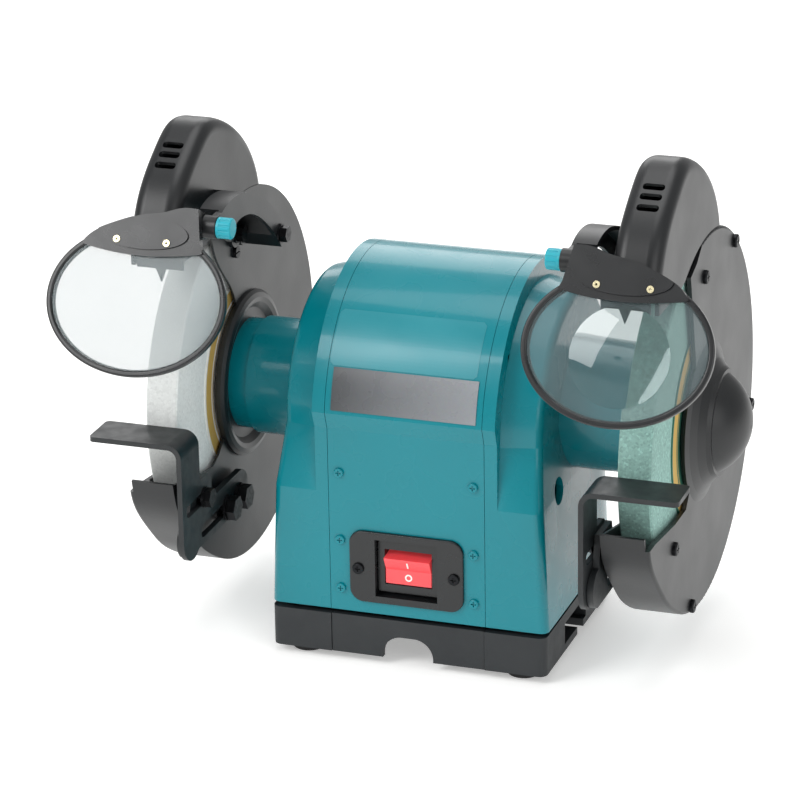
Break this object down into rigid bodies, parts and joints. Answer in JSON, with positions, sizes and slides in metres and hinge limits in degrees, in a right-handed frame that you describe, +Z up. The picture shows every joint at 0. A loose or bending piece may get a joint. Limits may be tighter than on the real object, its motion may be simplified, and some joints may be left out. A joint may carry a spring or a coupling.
{
  "type": "bench grinder",
  "caption": "Twin-wheel bench grinder with guards, tilting eye shields, sliding tool rests and a rocker switch on a squat base.",
  "frame": {"origin": "on the bench under the middle of the motor housing, on the plane of the feet", "axes": "+X along the spindle to the operator's right, +Y to the back, +Z up"},
  "size_m": [0.3866, 0.2665, 0.3091],
  "materials": {
    "teal_paint": "gloss",
    "black_paint": "satin",
    "base_black": "matte",
    "black_plastic": "satin",
    "red_rocker": "gloss",
    "knob_teal": "satin",
    "clear_lens": "gloss",
    "white_abrasive": "matte",
    "green_abrasive": "matte",
    "card": "matte",
    "zinc_steel": "satin",
    "teal_screw": "gloss",
    "dark_screw": "satin",
    "brass_rivet": "gloss",
    "rubber": "matte",
    "plate_grey": "gloss",
    "laminations": "matte",
    "windings": "gloss",
    "rotor_metal": "satin",
    "bearing_steel": "gloss",
    "shaft_steel": "satin",
    "can_aluminium": "satin"
  },
  "bodies": {
    "frame": {"motor_cover": "teal_paint", "right_end_casting": "teal_paint", "left_end_casting": "teal_paint", "cover_screws": "teal_screw", "rating_plate": "plate_grey", "switch_plate": "black_plastic", "switch_body": "black_plastic", "switch_screws": "dark_screw", "cord_gland": "rubber", "base_tray": "base_black", "base_front_panel": "base_black", "rubber_feet": "rubber", "base_screws": "zinc_steel", "stator_core": "laminations", "stator_windings": "windings", "stator_cradle": "zinc_steel", "bearing_outer_races": "bearing_steel", "capacitor": "can_aluminium", "capacitor_clip": "zinc_steel", "hub_caps": "black_paint", "guard_screws": "zinc_steel", "guard_cover_screws": "dark_screw", "bracket_bolts": "dark_screw", "arm_bolts": "dark_screw", "right_guard_body": "black_paint", "left_guard_body": "black_paint", "right_outer_cover": "black_paint", "left_outer_cover": "black_paint", "right_hood": "black_paint", "left_hood": "black_paint", "right_shield_bracket": "black_paint", "left_shield_bracket": "black_paint"},
    "spindle": {"shaft": "shaft_steel", "rotor": "rotor_metal", "bearing_inner_races": "bearing_steel", "bearing_balls": "bearing_steel", "right_wheel": "green_abrasive", "left_wheel": "white_abrasive", "wheel_blotters": "card", "inner_flanges": "zinc_steel", "outer_flanges": "zinc_steel", "spindle_nuts": "zinc_steel"},
    "rocker": {"switch_rocker": "red_rocker"},
    "right_shield": {"right_shield_frame": "black_plastic", "right_shield_lens": "clear_lens", "right_shield_eyelets": "brass_rivet", "magnifier": "clear_lens"},
    "right_knob": {"right_shield_knob": "knob_teal"},
    "right_arm": {"right_rest_arm": "black_paint", "right_rest_bolt": "dark_screw"},
    "right_rest": {"right_tool_rest": "black_paint"},
    "right_arrester": {"right_spark_arrester": "black_paint"},
    "left_shield": {"left_shield_frame": "black_plastic", "left_shield_lens": "clear_lens", "left_shield_eyelets": "brass_rivet"},
    "left_knob": {"left_shield_knob": "knob_teal"},
    "left_arm": {"left_rest_arm": "black_paint", "left_rest_bolt": "dark_screw"},
    "left_rest": {"left_tool_rest": "black_paint"},
    "left_arrester": {"left_spark_arrester": "black_paint"}
  },
  "joints": [
    {"name": "spindle_spin", "type": "hinge", "parent": "frame", "child": "spindle", "pos_m": [0, 0, 0.1405], "axis": [1, 0, 0], "continuous": true},
    {"name": "rocker_tip", "type": "hinge", "parent": "frame", "child": "rocker", "pos_m": [0, -0.0724, 0.061], "axis": [-1, 0, 0], "range_deg": [0, 26]},
    {"name": "right_shield_tilt", "type": "hinge", "parent": "frame", "child": "right_shield", "pos_m": [0.1106, -0.1045, 0.2662], "axis": [-1, 0, 0], "range_deg": [-20, 55]},
    {"name": "right_knob_turn", "type": "hinge", "parent": "frame", "child": "right_knob", "pos_m": [0.096, -0.1045, 0.2662], "axis": [-1, 0, 0], "range_deg": [-180, 180]},
    {"name": "right_arm_slide", "type": "slide", "parent": "frame", "child": "right_arm", "axis": [0, 1, 0], "range_m": [-0.004, 0.001]},
    {"name": "right_rest_slide", "type": "slide", "parent": "right_arm", "child": "right_rest", "axis": [0, 1, 0], "range_m": [-0.0035, 0.0008]},
    {"name": "right_arrester_slide", "type": "slide", "parent": "frame", "child": "right_arrester", "axis": [0, 0, -1], "range_m": [-0.004, 0.004]},
    {"name": "left_shield_tilt", "type": "hinge", "parent": "frame", "child": "left_shield", "pos_m": [-0.1106, -0.1045, 0.2662], "axis": [-1, 0, 0], "range_deg": [-20, 55]},
    {"name": "left_knob_turn", "type": "hinge", "parent": "frame", "child": "left_knob", "pos_m": [-0.096, -0.1045, 0.2662], "axis": [1, 0, 0], "range_deg": [-180, 180]},
    {"name": "left_arm_slide", "type": "slide", "parent": "frame", "child": "left_arm", "axis": [0, 1, 0], "range_m": [-0.004, 0.001]},
    {"name": "left_rest_slide", "type": "slide", "parent": "left_arm", "child": "left_rest", "axis": [0, 1, 0], "range_m": [-0.0035, 0.0008]},
    {"name": "left_arrester_slide", "type": "slide", "parent": "frame", "child": "left_arrester", "axis": [0, 0, -1], "range_m": [-0.004, 0.004]}
  ]
}
